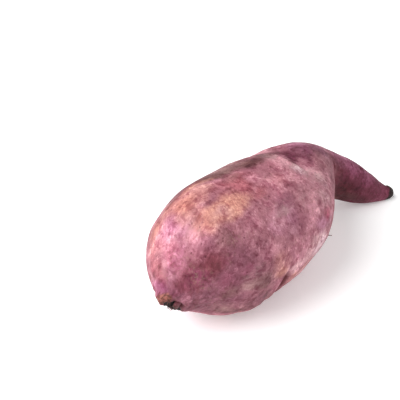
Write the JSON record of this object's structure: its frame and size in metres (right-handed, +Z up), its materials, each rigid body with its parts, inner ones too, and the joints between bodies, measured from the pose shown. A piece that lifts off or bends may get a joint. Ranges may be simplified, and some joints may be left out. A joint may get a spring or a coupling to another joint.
{
  "type": "purple sweet potato",
  "caption": "Whole raw purple sweet potato lying on its side, with a blunt scarred stem end, a dip behind its shoulder and a tapering hooked tail.",
  "frame": {"origin": "on the surface that the root lies on, under the middle of its bounding box", "axes": "+X from the stem end towards the tail along the root's length, +Y across it, +Z up"},
  "size_m": [0.1764, 0.0638, 0.0606],
  "materials": {
    "skin": "dull, dusty, faintly rough skin"
  },
  "bodies": {
    "root": {"sweet_potato": "skin"}
  },
  "joints": []
}
